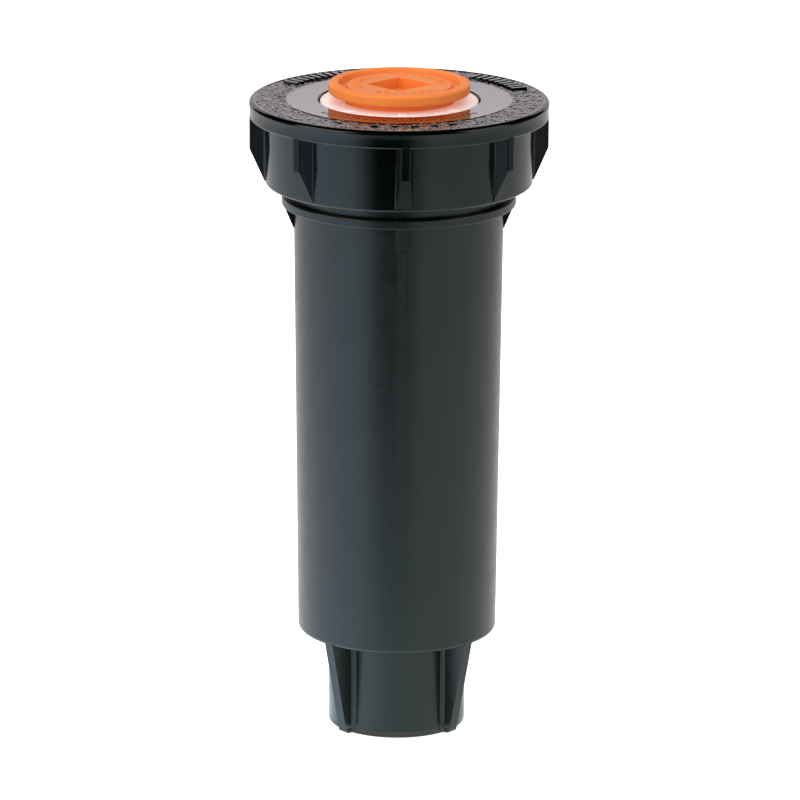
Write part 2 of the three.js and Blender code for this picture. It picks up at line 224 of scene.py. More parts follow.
def plate(outline, low, high):
    """A plate between two heights, whose plan is an outline of (x, y) or (x, y, fillet) corners."""
    curve = bpy.data.curves.new("plate", "CURVE")
    curve.dimensions = "2D"
    curve.fill_mode = "BOTH"
    curve.extrude = (high - low) / 2 * MM
    corners = rounded(outline)
    spline = curve.splines.new("POLY")
    spline.points.add(len(corners) - 1)
    for point, corner in zip(spline.points, corners):
        point.co = (corner.x * MM, corner.y * MM, 0, 1)
    spline.use_cyclic_u = True
    flat = bpy.data.objects.new("plate", curve)
    bpy.context.collection.objects.link(flat)
    hold(flat)
    bpy.ops.object.convert(target="MESH")
    piece = bpy.context.object
    piece.location.z = (low + high) / 2 * MM
    apply_place(piece)
    edit(piece)
    bpy.ops.mesh.select_all(action="SELECT")
    bpy.ops.mesh.remove_doubles(threshold=0.002 * MM)
    bpy.ops.mesh.dissolve_limited(angle_limit=math.radians(1))
    bpy.ops.mesh.select_all(action="SELECT")
    bpy.ops.mesh.normals_make_consistent(inside=False)
    bpy.ops.object.mode_set(mode="OBJECT")
    return piece


def rib_plan(wall_r, foot_half, edge_r, edge_half, fillet, ease):
    """The plan of a rib on a round wall, with a fillet on each side of its foot."""
    reach = foot_half + fillet + 0.1
    foot = math.sqrt(wall_r ** 2 - reach ** 2) - 0.03
    root = foot - 1.2
    return [
        (root, -reach),
        (foot, -reach),
        (foot, -foot_half, fillet),
        (edge_r, -edge_half, ease),
        (edge_r, edge_half, ease),
        (foot, foot_half, fillet),
        (foot, reach),
        (root, reach),
    ]


def sawn(piece, point, normal):
    """Cuts away what lies beyond a plane and closes the cut."""
    edit(piece)
    bpy.ops.mesh.select_all(action="SELECT")
    bpy.ops.mesh.bisect(
        plane_co=Vector(point) * MM, plane_no=normal, clear_outer=True, use_fill=True
    )
    bpy.ops.object.mode_set(mode="OBJECT")
    return piece


def eased(piece, wanted, width, segments=3):
    """Rounds the edges that are wanted."""
    edit(piece)
    pick("edges", wanted)
    bpy.ops.mesh.bevel(offset=width * MM, segments=segments, affect="EDGES", clamp_overlap=True)
    bpy.ops.object.mode_set(mode="OBJECT")
    return piece


def round_about(piece, angles):
    """Copies of a piece, one at each angle about Z, joined in one object. The piece is used up."""
    copies = []
    for angle in angles:
        copy = piece.copy()
        copy.data = piece.data.copy()
        bpy.context.collection.objects.link(copy)
        copy.rotation_euler.z = angle
        apply_place(copy)
        copies.append(copy)
    bpy.data.objects.remove(piece)
    clear_selection()
    for copy in copies:
        copy.select_set(True)
    bpy.context.view_layer.objects.active = copies[0]
    if len(copies) > 1:
        bpy.ops.object.join()
    return copies[0]


def spaced(count, first=0.0):
    """Angles evenly spaced round a full turn."""
    return [first + 2 * math.pi * i / count for i in range(count)]


def combined(piece, tool, operation="UNION"):
    """Joins or cuts a piece with a tool, which is used up."""
    hold(piece)
    boolean = piece.modifiers.new("combine", "BOOLEAN")
    boolean.operation = operation
    boolean.solver = "EXACT"
    boolean.object = tool
    bpy.ops.object.modifier_apply(modifier=boolean.name)
    bpy.data.objects.remove(tool)
    return piece


def thread_bar(foot_r, crest_r, foot_width, crest_width, pitch, turns, start_z, start_angle, steps):
    """A bar of trapezoid section wound right-handed about Z."""
    clear_selection()
    middle = Vector(((foot_r + crest_r) / 2, 0, start_z)) * MM
    bpy.ops.mesh.primitive_plane_add(size=1, location=middle, rotation=(math.pi / 2, 0, 0))
    bar = bpy.context.object
    bar.scale = (abs(crest_r - foot_r) * MM, foot_width * MM, 1)
    apply_place(bar)
    edit(bar)
    pick("edges", lambda middle, way: abs(middle.x - crest_r) < 0.01)
    taper = crest_width / foot_width
    bpy.ops.transform.resize(value=(1, 1, taper), center_override=(0, 0, start_z * MM))
    bpy.ops.object.mode_set(mode="OBJECT")
    screw = bar.modifiers.new("wind", "SCREW")
    screw.angle = turns * 2 * math.pi
    screw.screw_offset = turns * pitch * MM
    screw.steps = round(turns * steps)
    screw.render_steps = screw.steps
    bpy.ops.object.modifier_apply(modifier=screw.name)
    edit(bar)
    bpy.ops.mesh.select_all(action="SELECT")
    bpy.ops.mesh.remove_doubles(threshold=0.002 * MM)
    bpy.ops.mesh.fill_holes(sides=8)
    bpy.ops.mesh.select_all(action="SELECT")
    bpy.ops.mesh.normals_make_consistent(inside=False)
    bpy.ops.object.mode_set(mode="OBJECT")
    bar.rotation_euler.z = start_angle
    apply_place(bar)
    return bar


def finished(piece, material, body, slot, *nodes, smooth=32):
    """Smooths a piece, gives it its finish and says what it rides on and stands for."""
    hold(piece)
    bpy.ops.object.shade_smooth_by_angle(angle=math.radians(smooth))
    weighted = piece.modifiers.new("flats_stay_flat", "WEIGHTED_NORMAL")
    weighted.keep_sharp = True
    bpy.ops.object.modifier_apply(modifier=weighted.name)
    if not piece.data.materials:
        piece.data.materials.append(material)
    else:
        piece.data.materials[0] = material
    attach(piece, body)
    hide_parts(*nodes)
    return piece


# ---------------------------------------------------------------- finishes
def linear(hex_colour):
    """A linear colour from sRGB hex."""
    values = [int(hex_colour[i:i + 2], 16) / 255 for i in (1, 3, 5)]
    return [v / 12.92 if v <= 0.04045 else ((v + 0.055) / 1.055) ** 2.4 for v in values] + [1]


def add(tree, kind, links=(), **settings):
    """Adds a node: settings that name an input set it, others set the node; links feed inputs."""
    node = tree.nodes.new(kind)
    for name, value in settings.items():
        label = name.replace("_", " ")
        if hasattr(node, name):
            setattr(node, name, value)
        else:
            node.inputs[label].default_value = value
    for name, source in links:
        tree.links.new(source, node.inputs[name])
    return node


def blank(name):
    """A new node material with its shader, output and object coordinates."""
    material = bpy.data.materials.new(name)
    material.use_nodes = True
    tree = material.node_tree
    tree.nodes.clear()
    shader = add(tree, "ShaderNodeBsdfPrincipled")
    add(tree, "ShaderNodeOutputMaterial", [("Surface", shader.outputs["BSDF"])])
    place = add(tree, "ShaderNodeTexCoord").outputs["Object"]
    return material, tree, shader, place


def per_mm(size):
    """The texture scale whose features are about this many millimetres across."""
    return 1 / (size * MM)


def moulded(name, dark, light, roughness, spread, ripple_mm, ripple, **finish):
    """Injection-moulded plastic: a faint cloudiness in colour and gloss and a low orange peel."""
    material, tree, shader, place = blank(name)
    cloud = add(tree, "ShaderNodeTexNoise", [("Vector", place)], Scale=per_mm(14), Detail=3.0)
    tint = add(tree, "ShaderNodeValToRGB", [("Fac", cloud.outputs["Fac"])])
    tint.color_ramp.elements[0].position = 0.35
    tint.color_ramp.elements[1].position = 0.65
    tint.color_ramp.elements[0].color = linear(dark)
    tint.color_ramp.elements[1].color = linear(light)
    tree.links.new(tint.outputs["Color"], shader.inputs["Base Color"])
    scuff = add(tree, "ShaderNodeTexNoise", [("Vector", place)], Scale=per_mm(3.5), Detail=5.0)
    gloss = add(
        tree, "ShaderNodeMapRange", [("Value", scuff.outputs["Fac"])],
        From_Min=0.3, From_Max=0.7, To_Min=roughness - spread, To_Max=roughness + spread,
    )
    tree.links.new(gloss.outputs["Result"], shader.inputs["Roughness"])
    peel = add(tree, "ShaderNodeTexNoise", [("Vector", place)], Scale=per_mm(ripple_mm), Detail=2.0)
    bump = add(
        tree, "ShaderNodeBump", [("Height", peel.outputs["Fac"])],
        Strength=1.0, Distance=ripple * MM,
    )
    tree.links.new(bump.outputs["Normal"], shader.inputs["Normal"])
    for setting, value in finish.items():
        shader.inputs[setting.replace("_", " ")].default_value = value
    return material


def drawn_wire(name):
    """Drawn stainless wire: bright metal with fine lines along the draw."""
    material, tree, shader, place = blank(name)
    lines = add(tree, "ShaderNodeTexNoise", [("Vector", place)], Scale=per_mm(0.8), Detail=4.0)
    gloss = add(
        tree, "ShaderNodeMapRange", [("Value", lines.outputs["Fac"])],
        From_Min=0.3, From_Max=0.7, To_Min=0.18, To_Max=0.38,
    )
    tree.links.new(gloss.outputs["Result"], shader.inputs["Roughness"])
    shader.inputs["Base Color"].default_value = linear("#c9c7c2")
    shader.inputs["Metallic"].default_value = 1.0
    return material


# Black acetal-like copolymer, moulded: satin black that mirrors its surroundings softly
CASE_PLASTIC = moulded("moulded_black_case", "#040707", "#070a0a", 0.27, 0.04, 1.6, 0.004)
# The same plastic from a polished mould: deeper and glossier
CAP_PLASTIC = moulded("moulded_black_cap", "#010202", "#020303", 0.12, 0.03, 2.2, 0.002)
# Its grip ribs and the case's fins: the same black with its reflection turned down, painted shade
# that keeps their faces darker than the polished walls
RIB_SHADE_PLASTIC = moulded(
    "black_ribs_painted_shade", "#020303", "#030404", 0.2, 0.04, 1.8, 0.003, Specular_IOR_Level=0.2
)
# Its top, where the mould was etched with a leather grain: glossy islands, fine texture between
CAP_GRAIN = moulded(
    "leather_grained_black_cap", "#060607", "#0b0a0b", 0.2, 0.05, 0.35, 0.012,
    Coat_Weight=0.75, Coat_Roughness=0.08,
)
# The smooth ring inside it, which mirrors like lacquer at a low angle
CAP_POLISH = moulded(
    "polished_black_ring", "#060607", "#08080a", 0.1, 0.02, 4.0, 0.002,
    Coat_Weight=1.0, Coat_Roughness=0.05,
)
# Soft pale elastomer: milky and lit through from beneath by subsurface scattering, with a faint
# pinkish painted glow (emission) that brightens it where the plug's disc shades it
SEAL_RUBBER = moulded(
    "pale_elastomer_painted_glow", "#fce2da", "#feece6", 0.3, 0.04, 1.8, 0.004,
    Subsurface_Weight=0.9, Subsurface_Radius=(1.0, 0.65, 0.55), Subsurface_Scale=0.006,
    # Painted glow: this emission stands in for light reaching the ring under the plug's overhang
    Emission_Color=(0.9, 0.58, 0.5, 1), Emission_Strength=0.22,
)
# Moulded polypropylene in orange: even colour, a soft sheen
PLUG_PLASTIC = moulded(
    "moulded_orange_plug", "#e97e31", "#ee8538", 0.5, 0.04, 1.4, 0.004, Specular_IOR_Level=0.4,
)
GREY_ACETAL = moulded("moulded_grey_acetal", "#85888b", "#93969a", 0.42, 0.05, 1.2, 0.006)
RISER_PLASTIC = moulded("moulded_black_riser", "#0c0d0e", "#131517", 0.26, 0.03, 2.0, 0.003)
CHECK_RUBBER = moulded("soft_black_rubber", "#0f0f10", "#18181a", 0.62, 0.06, 0.6, 0.01)
SCREEN_PLASTIC = moulded("natural_polypropylene", "#d5d6cf", "#e2e3dc", 0.38, 0.05, 1.2, 0.005)
SPRING_WIRE = drawn_wire("drawn_stainless_wire")


# ---------------------------------------------------------------- case
def inlet_rib():
    """One of the four hand ribs on the inlet: it widens upwards to the tube and has a round toe."""
    half, toe_r, toe_z, uncut_r = 1.0, 15.0, 0.3, 20.4
    rib = plate(rib_plan(INLET_R, half, uncut_r, half, 0.9, 0.2), toe_z, TUBE_Z + 0.8)
    sawn(rib, (toe_r, 0, toe_z), Vector((1, 0, -0.214)).normalized())
    eased(rib, lambda middle, way: middle.z < toe_z + 0.1 and middle.x > toe_r - 0.2, 0.7, 5)
    return eased(rib, lambda middle, way: middle.x > toe_r and abs(way.y) < 0.1, 0.3)


def collar_gusset():
    """A small fin under the collar with a round lower end."""
    half, top_r = 1.2, 22.1
    gusset = block((TUBE_R[0] - 0.5, -half, GUSSET_Z), (top_r + 0.1, half, COLLAR_Z[0] + 0.5))
    sawn(gusset, (top_r, 0, COLLAR_Z[0]), Vector((1, 0, -0.42)).normalized())
    eased(gusset, lambda middle, way: middle.z < GUSSET_Z + 0.1 and abs(way.x) > 0.9, 0.95, 5)
    return eased(gusset, lambda middle, way: middle.x > TUBE_R[1] + 0.5 and abs(way.y) < 0.1, 0.25)


def make_case():
    """The outer tube, turned in one outline from the inlet's mouth up and back down its bore."""
    throat_top, throat_bottom, mouth_depth = 19.3, 15.5, 0.75
    case = turned("case_body", [
        (INLET_MOUTH_R, INLET_Z),
        (INLET_R, INLET_Z, 0.3),
        (INLET_R, TUBE_Z, 0.35),
        (TUBE_R[0], TUBE_Z, 0.95),
        (TUBE_R[1], COLLAR_Z[0], 0.4),
        (CASE_R, COLLAR_Z[0], 0.25),
        (CASE_R, COLLAR_Z[1], 0.3),
        (NECK_R, COLLAR_Z[1], 0.2),
        (NECK_R, CASE_TOP, 0.5),
        (NECK_BORE_R, CASE_TOP, 0.3),
        (NECK_BORE_R, LEDGE_Z),
        (BORE_R, LEDGE_Z, 0.3),
        (BORE_R, FLOOR_Z, 0.6),
        (WASHER_SEAT_R, FLOOR_Z, 0.2),
        (WASHER_SEAT_R, throat_top),
        (THROAT_R, throat_top, 0.2),
        (THROAT_R, throat_bottom, 0.2),
        (INLET_BORE_R, throat_bottom),
        (INLET_BORE_R, mouth_depth),
    ])
    combined(case, round_about(inlet_rib(), spaced(4, CASE_TURN + math.pi / 4)))
    combined(case, round_about(collar_gusset(), spaced(4, CASE_TURN)))
    spline_r = BORE_R - 1.1
    spline = block((spline_r, -1, FLOOR_Z - 0.4), (BORE_R + 0.8, 1, LEDGE_Z - 6))
    sawn(spline, (spline_r, 0, LEDGE_Z - 7.5), Vector((-1, 0, 1)).normalized())
    combined(case, round_about(spline, spaced(4)))
    neck_thread = thread_bar(
        NECK_R - 0.3, 22.2, 2.3, 0.9, CAP_PITCH, 2.25, NECK_THREAD_Z, 0.087, 72
    )
    combined(case, neck_thread)
    pipe_thread = thread_bar(
        INLET_BORE_R + 0.3, 9.35, 1.7, 0.35, PIPE_PITCH, 6.5, 1.8, 0.05, 48
    )
    combined(case, pipe_thread)
    finished(case, CASE_PLASTIC, "body", "case_plastic", "case")
    case.data.materials.append(RIB_SHADE_PLASTIC)
    fin_shade_slot = 1
    # The fins below the collar take the ribs' painted-shade material
    for face in case.data.polygons:
        radius = face.center.xy.length / MM
        height = face.center.z / MM
        if radius > TUBE_R[1] + 0.15 and GUSSET_Z < height + 0.1 < COLLAR_Z[0]:
            face.material_index = fin_shade_slot
    return case


# ---------------------------------------------------------------- cap
def cap_rib():
    """A grip rib: full depth under the flange, then tapering to the skirt, with sloping flanks."""
    edge_r, shoulder_z = 28.5, CAP_TOP - 9.4
    plan = rib_plan(SKIRT_R[0], 1.7, edge_r, 0.85, 0.7, 0.3)
    rib = plate(plan, SKIRT_Z + 0.7, CAP_TOP - 3.2)
    slope = Vector((6.4, 0, -2.95)).normalized()
    corner = Vector((edge_r, 0, shoulder_z))
    sawn(rib, corner, slope)
    off_wall = SKIRT_R[1] + 0.45
    return eased(
        rib,
        lambda middle, way: abs((middle - corner).dot(slope)) < 0.02 and middle.x > off_wall,
        0.25,
    )


def grain(piece, inner, outer, top_z):
    """Sinks the valleys of a leather grain into the flat band between two radii."""
    width, depth, fade = 0.92 * MM, 0.17 * MM, 0.3
    noise.seed_set(7)  # its vectors come from the clock otherwise
    edit(piece)
    pick("faces", lambda middle, way: way.z > 0.99 and abs(middle.z - top_z) < 0.01
         and inner < middle.xy.length < outer)
    bpy.ops.mesh.subdivide(number_cuts=5)
    bpy.ops.object.mode_set(mode="OBJECT")
    for vertex in piece.data.vertices:
        spot = vertex.co
        radius = spot.xy.length / MM
        if abs(spot.z / MM - top_z) > 0.01 or not inner < radius < outer:
            continue
        place = Vector((spot.x, spot.y, 0)) / width
        place += 0.35 * noise.noise_vector(place * 1.3)
        near = noise.voronoi(place)[0][0]
        pebble = 1 - min(1.0, near / 0.62) ** 2
        lift = pebble * (0.75 + 0.25 * noise.noise(place * 0.6))
        edge = min(1.0, (radius - inner) / fade, (outer - radius) / fade)
        spot.z -= (1 - lift) * depth * edge


def marks(size, place_r, top_z, angles, ease):
    """Plain raised bars on a flat face, round an arc: size is (along the radius, across, high)."""
    long, across, high = size
    sunk = 0.4
    inner, outer = place_r - long / 2, place_r + long / 2
    bar = block((inner, -across / 2, top_z - sunk), (outer, across / 2, top_z + high))
    eased(bar, lambda middle, way: middle.z > top_z, ease, 2)
    return round_about(bar, angles)


def make_cap():
    """The screw cap: ribbed skirt, grained band, raised bars, and a polished ring round its hole."""
    flange_z = CAP_TOP - 3.4
    dish_z = CAP_TOP - 0.12
    under_z = CAP_TOP - 3.0
    inner, outer = BAND_R
    rings = [(outer + (inner - outer) * i / 8, CAP_TOP) for i in range(8)]
    cap = turned("screw_cap", [
        (SKIRT_BORE_R, SKIRT_Z, 0.2),
        (SKIRT_R[0], SKIRT_Z, 0.5),
        (SKIRT_R[1], flange_z, 0.5),
        (CAP_R - 0.1, flange_z, 0.35),
        (CAP_R - 0.14, flange_z + 1.7),
        (CAP_R, flange_z + 2.5),
        (CAP_R, CAP_TOP, 0.75),
        *rings,
        (inner, CAP_TOP),
        (inner - 0.4, dish_z),
        (CAP_OPENING_R, dish_z, 0.25),
        (CAP_OPENING_R, under_z),
        (SKIRT_BORE_R, under_z),
    ])
    grain(cap, inner, outer, CAP_TOP)
    combined(cap, round_about(cap_rib(), spaced(8, FRONT + RIB_TURN)))
    cap_thread = thread_bar(
        SKIRT_BORE_R + 0.3, 21.4, 2.1, 0.7, CAP_PITCH, 2, NECK_THREAD_Z + CAP_PITCH / 2, 0.087, 72
    )
    combined(cap, cap_thread)
    bars, bar_step, bar_r = 9, 3.9, 24.6
    back_left = [math.radians(116 + bar_step * i) for i in range(bars)]
    back_right = [math.radians(22 + bar_step * i) for i in range(bars)]
    combined(cap, marks((3.2, 0.9, 0.3), bar_r, CAP_TOP, back_left + back_right, 0.14))
    pip_step, pip_r = 9, 23.6
    front_row = [FRONT + math.radians(pip_step * i - 2) for i in (-3, -1, 0, 1, 2, 3)]
    combined(cap, marks((0.7, 1.3, 0.12), pip_r, CAP_TOP, front_row, 0.05))
    dashes, dash_step, dash_r = 25, 4.2, 18.4
    front = [FRONT + math.radians(dash_step * (i - dashes // 2)) for i in range(dashes)]
    combined(cap, marks((0.9, 0.55, 0.06), dash_r, dish_z, front, 0.03))
    finished(cap, CAP_PLASTIC, "cap", "cap_plastic", "cap")
    cap.data.materials.append(CAP_GRAIN)
    cap.data.materials.append(CAP_POLISH)
    cap.data.materials.append(RIB_SHADE_PLASTIC)
    grain_slot, polish_slot, rib_shade_slot = 1, 2, 3
    # The ribs' faces under the flange take the painted-shade material; the grained band and the
    # polished ring take their own finishes
    for face in cap.data.polygons:
        radius = face.center.xy.length / MM
        height = face.center.z / MM
        if radius > SKIRT_R[1] + 0.2 and height < flange_z - 0.05:
            face.material_index = rib_shade_slot
        if face.normal.z > 0.5 and height > CAP_TOP - 0.15 and inner < radius < outer:
            face.material_index = grain_slot
        elif face.normal.z > 0.9 and height > dish_z - 0.1 and radius < inner:
            face.material_index = polish_slot
    return cap


# ---------------------------------------------------------------- seal and retainer
def make_seal():
    """The wiper seal: a pale ring with nubs on top, a flange under the cap, a lip round the riser."""
    flange_z = CASE_TOP + 0.3
    flange_top = flange_z + 0.8
    nub_height, nub_r = 0.14, 13.7
    ring_z = SEAL_TOP - nub_height
    ring_r, lip_r = 15.05, 10.25
    seal = turned("wiper_seal_ring", [
        (lip_r, LIP_Z),
        (lip_r + 0.6, LIP_Z, 0.2),
        (14.2, flange_z, 0.4),
        (SEAL_FLANGE_R, flange_z, 0.2),
        (SEAL_FLANGE_R, flange_top, 0.2),
        (ring_r, flange_top, 0.2),
        (ring_r, ring_z, 0.35),
        (10.6, ring_z, 0.3),
        (11.0, flange_z - 0.7, 0.4),
        (lip_r, LIP_Z + 0.7, 0.3),
    ])
    nubs = marks((1.8, 1.6, nub_height), nub_r, ring_z, spaced(8, FRONT + RIB_TURN), 0.08)
    combined(seal, nubs)
    return finished(seal, SEAL_RUBBER, "seal_carrier", "seal_rubber", "wiper_seal")


def make_retainer():
    """The hard cup that carries the seal on the case's mouth."""
    bore_r, seat_r, seat_z = 10.4, 17.1, RETAINER_Z + 2.3
    retainer = turned("seal_retainer_ring", [
        (bore_r, RETAINER_Z, 0.3),
        (RETAINER_R, RETAINER_Z, 0.3),
        (RETAINER_R, RETAINER_TOP, 0.3),
        (seat_r, RETAINER_TOP, 0.3),
        (seat_r, seat_z, 0.4),
        (bore_r, seat_z, 0.3),
    ])
    return finished(retainer, GREY_ACETAL, "seal_carrier", "inner_plastic", "seal_retainer")


def make_spring():
    """The retract spring: open coils with a closed coil at each end."""
    wire_r, coil_r, coils = 0.5, 13.9, 9
    steps = 40
    turns = coils * steps
    low, high = SPRING_Z + wire_r, SPRING_TOP - wire_r
    curve = bpy.data.curves.new("spring_wire", "CURVE")
    curve.dimensions = "3D"
    curve.bevel_depth = wire_r * MM
    curve.bevel_resolution = 3
    curve.use_fill_caps = True
    spline = curve.splines.new("POLY")
    spline.points.add(turns)
    closed_rise = 2 * wire_r * 1.05
    for i in range(turns + 1):
        turn = i / steps
        if turn < 1:
            rise = closed_rise * turn * turn / 2
        elif turn > coils - 1:
            rise = high - low - closed_rise * (coils - turn) ** 2 / 2
        else:
            share = (turn - 1) / (coils - 2)
            rise = closed_rise / 2 + (high - low - closed_rise) * share
        angle = 2 * math.pi * turn
        spline.points[i].co = (
            coil_r * math.cos(angle) * MM, coil_r * math.sin(angle) * MM, (low + rise) * MM, 1
        )
    spring = bpy.data.objects.new("retract_spring_coil", curve)
    bpy.context.collection.objects.link(spring)
    hold(spring)
    bpy.ops.object.convert(target="MESH")
    named(bpy.context.object, "retract_spring_coil")
    return spring


# ---------------------------------------------------------------- riser
def make_stem():
    """The riser's tube, with a foot below and a ledge inside for the filter's rim."""
    foot_top = STEM_Z + 0.9
    ledge_z = SCREEN_TOP - 1.3
    ledge_r = 7.2
    stem = turned("riser_tube", [
        (STEM_BORE_R, STEM_Z, 0.3),
        (FOOT_R, STEM_Z, 0.2),
        (FOOT_R, foot_top, 0.2),
        (STEM_R, foot_top),
        (STEM_R, STEM_TOP, 0.5),
        (STEM_BORE_R, STEM_TOP, 0.4),
        (STEM_BORE_R, ledge_z),
        (ledge_r, ledge_z, 0.15),
        (ledge_r, ledge_z - 0.7),
        (STEM_BORE_R, ledge_z - 1.6),
    ], sides=SMALL_SIDES * 2)
    return finished(stem, RISER_PLASTIC, "riser", "riser_plastic", "riser_stem")


def saw_teeth(inner, outer, z, rise, count=24):
    """Radial saw teeth standing on a flat ring."""
    half = math.pi * inner / count * 0.86
    base = z - 0.3 if rise > 0 else z + 0.3
    low, high = min(base, z + rise), max(base, z + rise)
    tooth = block((inner, -half, low), (outer, half, high))
    up = 1 if rise > 0 else -1
    sawn(tooth, (0, half, z), Vector((0, abs(rise) / (2 * half), up)).normalized())
    return round_about(tooth, spaced(count))


def make_hub():
    """The ratchet's lower half, on the riser's foot."""
    bore_r, seat_z = STEM_R + 0.3, HUB_TOP - TOOTH
    hub = turned("ratchet_lower_half", [
        (bore_r, HUB_Z, 0.2),
        (HUB_R, HUB_Z, 0.25),
        (HUB_R, seat_z, 0.2),
        (bore_r, seat_z, 0.2),
    ], sides=SMALL_SIDES)
    combined(hub, saw_teeth(11.4, HUB_R - 0.4, seat_z, TOOTH))
    return finished(hub, RISER_PLASTIC, "riser", "riser_plastic", "ratchet_hub")


def make_ratchet_ring():
    """The ratchet's upper half, keyed on the case's splines, with a seat for the spring."""
    bore_r, seat_z = STEM_R + 0.4, RING_TOP - 2.6
    under_z = RING_Z + TOOTH
    ring = turned("ratchet_upper_half", [
        (bore_r, under_z, 0.2),
        (RING_R, under_z, 0.25),
        (RING_R, seat_z, 0.25),
        (12.6, seat_z, 0.3),
        (12.2, RING_TOP, 0.3),
        (bore_r, RING_TOP, 0.3),
    ], sides=SMALL_SIDES)
    combined(ring, saw_teeth(11.5, HUB_R - 0.4, under_z, -TOOTH))
    key_half = 1.35
    keyway = block((BORE_R - 1.5, -key_half, RING_Z - 1), (BORE_R + 1, key_half, RING_TOP + 1))
    combined(ring, round_about(keyway, spaced(4)), "DIFFERENCE")
    return finished(ring, GREY_ACETAL, "ratchet", "inner_plastic", "ratchet_ring")


def make_washer():
    """The rubber washer under the riser's foot."""
    bore_r = STEM_BORE_R + 0.2
    washer = turned("check_valve_washer", [
        (bore_r, WASHER_Z, 0.2),
        (WASHER_R, WASHER_Z, 0.3),
        (WASHER_R, WASHER_TOP, 0.3),
        (bore_r, WASHER_TOP, 0.2),
    ], sides=SMALL_SIDES)
    return finished(washer, CHECK_RUBBER, "riser", "check_rubber", "check_washer")


def make_washer_clip():
    """The clip that holds the washer: a split collar with a cross over the water's way."""
    bore_r, shank_r, head = 6.2, STEM_BORE_R - 0.35, 1.0
    clip = turned("washer_retaining_clip", [
        (bore_r, CLIP_Z, 0.2),
        (CLIP_R, CLIP_Z, 0.25),
        (CLIP_R, CLIP_Z + head, 0.2),
        (shank_r, CLIP_Z + head),
        (shank_r, CLIP_TOP, 0.3),
        (bore_r, CLIP_TOP, 0.3),
    ], sides=SMALL_SIDES)
    slot_half, bar_half = 0.8, 0.7
    slot = block((4, -slot_half, CLIP_Z + 4.1), (10, slot_half, CLIP_TOP + 1))
    combined(clip, round_about(slot, spaced(4)), "DIFFERENCE")
    for turn in (0, math.pi / 2):
        bar = block((-6.6, -bar_half, CLIP_Z + 0.05), (6.6, bar_half, CLIP_Z + 0.95))
        combined(clip, round_about(bar, [turn]))
    return finished(clip, GREY_ACETAL, "riser", "inner_plastic", "washer_retainer")


def make_screen():
    """The filter basket, which hangs by its rim, with a ring of upright slits."""
    rim_z, wall = SCREEN_TOP - 1.0, 0.8
    bottom_r, top_r = 5.9, 6.7
    basket = turned("filter_basket", [
        (bottom_r, SCREEN_Z, 0.4),
        (top_r, rim_z),
        (SCREEN_R, rim_z, 0.2),
        (SCREEN_R, SCREEN_TOP, 0.2),
        (top_r - wall, SCREEN_TOP, 0.2),
        (bottom_r - wall, SCREEN_Z + 1),
    ], sides=SMALL_SIDES, closed=False)
    slit_half, slit_z = 0.35, (SCREEN_Z + 2.5, SCREEN_Z + 24.5)
    window = block((4, -slit_half, slit_z[0]), (9, slit_half, slit_z[1]))
    combined(basket, round_about(window, spaced(24)), "DIFFERENCE")
    return finished(basket, SCREEN_PLASTIC, "riser", "screen_plastic", "filter_screen")


# ---------------------------------------------------------------- flush plug
def make_plug():
    """The flush plug: a disc with a groove and a grip recess, on a hollow spigot."""
    under_z = PLUG_TOP - 2.15
    inner_z = PLUG_TOP - 0.55
    groove_z = PLUG_TOP - 1.25
    shoulder_z = STEM_TOP + 0.3
    hollow_r, spigot_r, neck_r = 5.9, STEM_BORE_R - 0.35, 10.2
    plug = turned("flush_plug_body", [
        (hollow_r, SPIGOT_Z + 6.4),
        (hollow_r, SPIGOT_Z, 0.3),
        (spigot_r - 0.35, SPIGOT_Z, 0.5),
        (spigot_r, SPIGOT_Z + 1.6),
        (spigot_r, shoulder_z),
        (neck_r, shoulder_z, 0.2),
        (neck_r, under_z, 0.25),
        (DISC_R, under_z, 0.55),
        (DISC_R, PLUG_TOP, 0.6),
        (11.6, PLUG_TOP, 0.3),
        (11.4, groove_z, 0.3),
        (10.1, groove_z, 0.25),
        (9.95, inner_z, 0.25),
        (7.5, inner_z),
    ], closed=False)
    recess_floor = PLUG_TOP - 2.55
    side = 4.4
    recess = block((-side, -side, recess_floor), (side, side, PLUG_TOP + 1))
    eased(recess, lambda middle, way: abs(way.z) > 0.9, 0.35)
    combined(plug, round_about(recess, [math.pi / 4]), "DIFFERENCE")
    bar_r, group, shown = 8.15, 10, 8
    ring = [angle for i, angle in enumerate(spaced(3 * group)) if i % group < shown]
    combined(plug, marks((1.3, 0.5, 0.14), bar_r, inner_z, ring, 0.06))
    return finished(plug, PLUG_PLASTIC, "plug", "plug_plastic", "flush_plug")


# ---------------------------------------------------------------- studio
def make_camera():
    """A long lens a little above the object, looking along +Y."""
    distance, rise = 1.1492, math.radians(15.5)
    target = Vector((0, 0, 62.57 * MM))
    data = bpy.data.cameras.new("studio_camera")
    camera = bpy.data.objects.new("studio_camera", data)
    bpy.context.collection.objects.link(camera)
    camera.location = target + distance * Vector((0, -math.cos(rise), math.sin(rise)))
    level = Quaternion((1, 0, 0), math.pi / 2 - rise)
    tilt = Quaternion((0, 0, 1), math.radians(0.27))
    camera.rotation_euler = (level @ tilt).to_euler()
    data.lens = 268.4
    data.sensor_width = 36
    data.shift_x = 0.0027
    data.shift_y = 0.0102
    data.clip_end = 50
    bpy.context.scene.camera = camera


def panel(name, place, aim, width, height, power, colour="#ffffff"):
    """A soft rectangular light, pointing at a spot."""
    data = bpy.data.lights.new(name, "AREA")
    data.shape = "RECTANGLE"
    data.size = width
    data.size_y = height
    data.energy = power
    data.color = linear(colour)[:3]
    light = bpy.data.objects.new(name, data)
    bpy.context.collection.objects.link(light)
    light.location = place
    light.rotation_euler = (Vector(aim) - Vector(place)).to_track_quat("-Z", "Y").to_euler()
    return light


def eased_range(tree, value, low, high, start, end, smooth=True):
    """The value mapped from low..high to start..end, held outside that."""
    node = add(
        tree, "ShaderNodeMapRange", [("Value", value)],
        From_Min=low, From_Max=high, To_Min=start, To_Max=end,
    )
    node.interpolation_type = "SMOOTHSTEP" if smooth else "LINEAR"
    return node.outputs["Result"]


